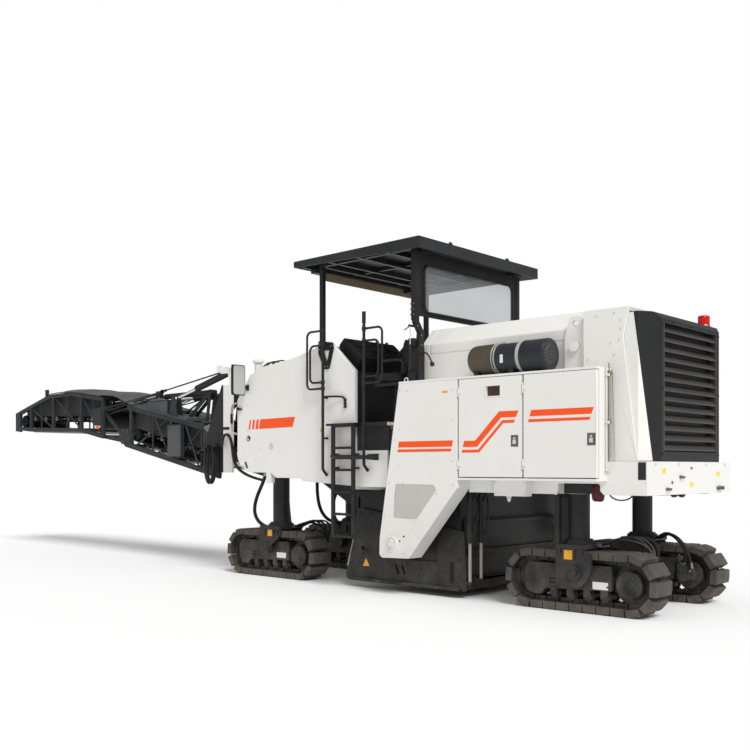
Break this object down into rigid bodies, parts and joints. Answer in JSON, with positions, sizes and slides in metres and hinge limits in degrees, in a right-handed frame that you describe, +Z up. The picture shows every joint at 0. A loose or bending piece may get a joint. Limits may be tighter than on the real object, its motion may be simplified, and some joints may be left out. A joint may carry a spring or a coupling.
{
  "type": "cold planer milling machine",
  "caption": "Road milling machine on four crawlers with a slewing front discharge conveyor, milling drum, operator canopy and rear cooler.",
  "frame": {"origin": "centre of the bounding box's footprint, on the ground under the crawlers", "axes": "+X forward towards the discharge conveyor, +Y to the machine's left, +Z up"},
  "size_m": [13.785, 2.77, 4.211],
  "materials": {
    "white_paint": "gloss",
    "dark_paint": "satin",
    "grey_paint": "satin",
    "track_steel": "worn",
    "pad_rubber": "worn",
    "belt_rubber": "matte",
    "chrome": "polished",
    "cutter_steel": "worn",
    "glass": "clear",
    "red_lens": "gloss",
    "seat_vinyl": "matte",
    "mirror_shell": "matte",
    "canister": "satin",
    "engine_paint": "satin"
  },
  "bodies": {
    "chassis": {"main_frame": "white_paint", "front_body": "white_paint", "engine_cabinet": "white_paint", "belt_cover": "white_paint", "side_cover_right": "white_paint", "hood_sides": "white_paint", "rear_body": "white_paint", "lifting_lugs": "white_paint", "cooler_housing": "dark_paint", "cooler_louvres": "dark_paint", "beacon": "red_lens", "air_cleaner": "canister", "engine_block": "engine_paint", "console": "dark_paint", "seats": "seat_vinyl", "canopy_roof": "grey_paint", "canopy_posts": "dark_paint", "rear_glass": "glass", "ladder_left": "dark_paint", "ladder_right": "dark_paint", "mirror_left": "mirror_shell", "mirror_right": "mirror_shell", "drum_housing": "dark_paint", "primary_conveyor": "dark_paint"},
    "crawler_rear_left": {"crawler_rear_left": "track_steel", "track_rear_left": "pad_rubber"},
    "crawler_rear_right": {"crawler_rear_right": "track_steel", "track_rear_right": "pad_rubber"},
    "crawler_front_left": {"crawler_front_left": "track_steel", "track_front_left": "pad_rubber"},
    "crawler_front_right": {"crawler_front_right": "track_steel", "track_front_right": "pad_rubber"},
    "drum": {"milling_drum": "cutter_steel"},
    "side_plate_left": {"side_plate_left": "dark_paint"},
    "side_plate_right": {"side_plate_right": "dark_paint"},
    "moldboard": {"moldboard": "dark_paint"},
    "door_front_left": {"door_front_left": "white_paint"},
    "door_rear_left": {"door_rear_left": "white_paint"},
    "door_front_right": {"door_front_right": "white_paint"},
    "door_rear_right": {"door_rear_right": "white_paint"},
    "hood_lid": {"hood_lid": "white_paint"},
    "slew": {"slew_frame": "white_paint"},
    "conveyor_rear": {"conveyor_rear": "grey_paint", "belt_rear": "belt_rubber"},
    "conveyor_front": {"conveyor_front": "grey_paint", "belt_front": "belt_rubber"},
    "lift_barrels": {"lift_barrels": "dark_paint"},
    "lift_rods": {"lift_rods": "chrome"},
    "fold_barrels": {"fold_barrels": "dark_paint"},
    "fold_rods": {"fold_rods": "chrome"}
  },
  "joints": [
    {"name": "steer_rear_left", "type": "hinge", "parent": "chassis", "child": "crawler_rear_left", "pos_m": [-5.9155, 0.73, 0.715], "axis": [0, 0, 1], "range_deg": [-25, 25]},
    {"name": "steer_rear_right", "type": "hinge", "parent": "chassis", "child": "crawler_rear_right", "pos_m": [-5.9155, -0.73, 0.715], "axis": [0, 0, 1], "range_deg": [-25, 25]},
    {"name": "steer_front_left", "type": "hinge", "parent": "chassis", "child": "crawler_front_left", "pos_m": [-1.1875, 0.73, 0.715], "axis": [0, 0, 1], "range_deg": [-25, 25]},
    {"name": "steer_front_right", "type": "hinge", "parent": "chassis", "child": "crawler_front_right", "pos_m": [-1.1875, -0.73, 0.715], "axis": [0, 0, 1], "range_deg": [-25, 25]},
    {"name": "drum_spin", "type": "hinge", "parent": "chassis", "child": "drum", "pos_m": [-3.6475, -0.175, 0.515], "axis": [0, 1, 0], "continuous": true},
    {"name": "side_plate_left_lift", "type": "slide", "parent": "chassis", "child": "side_plate_left", "axis": [0, 0, 1], "range_m": [-0.08, 0.3]},
    {"name": "side_plate_right_lift", "type": "slide", "parent": "chassis", "child": "side_plate_right", "axis": [0, 0, 1], "range_m": [-0.08, 0.3]},
    {"name": "moldboard_lift", "type": "slide", "parent": "chassis", "child": "moldboard", "axis": [0, 0, 1], "range_m": [-0.08, 0.3]},
    {"name": "door_front_left_swing", "type": "hinge", "parent": "chassis", "child": "door_front_left", "pos_m": [-4.6895, 1.25, 1.96], "axis": [0, 0, -1], "range_deg": [0, 100]},
    {"name": "door_rear_left_swing", "type": "hinge", "parent": "chassis", "child": "door_rear_left", "pos_m": [-5.5445, 1.25, 1.96], "axis": [0, 0, -1], "range_deg": [0, 100]},
    {"name": "door_front_right_swing", "type": "hinge", "parent": "chassis", "child": "door_front_right", "pos_m": [-4.6895, -1.25, 1.96], "axis": [0, 0, 1], "range_deg": [0, 100]},
    {"name": "door_rear_right_swing", "type": "hinge", "parent": "chassis", "child": "door_rear_right", "pos_m": [-5.5445, -1.25, 1.96], "axis": [0, 0, 1], "range_deg": [0, 100]},
    {"name": "hood_lid_tilt", "type": "hinge", "parent": "chassis", "child": "hood_lid", "pos_m": [-3.9605, 0, 3.208], "axis": [0, 1, 0], "range_deg": [0, 40]},
    {"name": "conveyor_slew", "type": "hinge", "parent": "chassis", "child": "slew", "pos_m": [0.1525, 0, 1.5], "axis": [0, 0, 1], "range_deg": [-40, 40]},
    {"name": "conveyor_lift", "type": "hinge", "parent": "slew", "child": "conveyor_rear", "pos_m": [0.6025, 0, 1.75], "axis": [0, -1, 0], "range_deg": [0, 20]},
    {"name": "conveyor_fold", "type": "hinge", "parent": "conveyor_rear", "child": "conveyor_front", "pos_m": [3.0225, 0, 1.975], "axis": [0, -1, 0], "range_deg": [0, 60]},
    {"name": "lift_barrels_swing", "type": "hinge", "parent": "slew", "child": "lift_barrels", "pos_m": [0.2425, 0, 3], "axis": [0, -1, 0], "range_deg": [-0.5, 12]},
    {"name": "lift_rods_stroke", "type": "slide", "parent": "lift_barrels", "child": "lift_rods", "axis": [0.9697, 0, -0.2441], "range_m": [-0.42, 0.01]},
    {"name": "fold_barrels_swing", "type": "hinge", "parent": "conveyor_rear", "child": "fold_barrels", "pos_m": [0.9125, 0, 2.72], "axis": [0, -1, 0], "range_deg": [-0.5, 12]},
    {"name": "fold_rods_stroke", "type": "slide", "parent": "fold_barrels", "child": "fold_rods", "axis": [1, 0, -0.0069], "range_m": [-0.98, 0.01]}
  ],
  "couplings": [
    {"joint": "lift_barrels_swing", "follows": "conveyor_lift", "ratio": 0.568},
    {"joint": "lift_rods_stroke", "follows": "conveyor_lift", "m_per_rad": -1.165},
    {"joint": "fold_barrels_swing", "follows": "conveyor_fold", "ratio": 0.19},
    {"joint": "fold_rods_stroke", "follows": "conveyor_fold", "m_per_rad": -0.92}
  ]
}
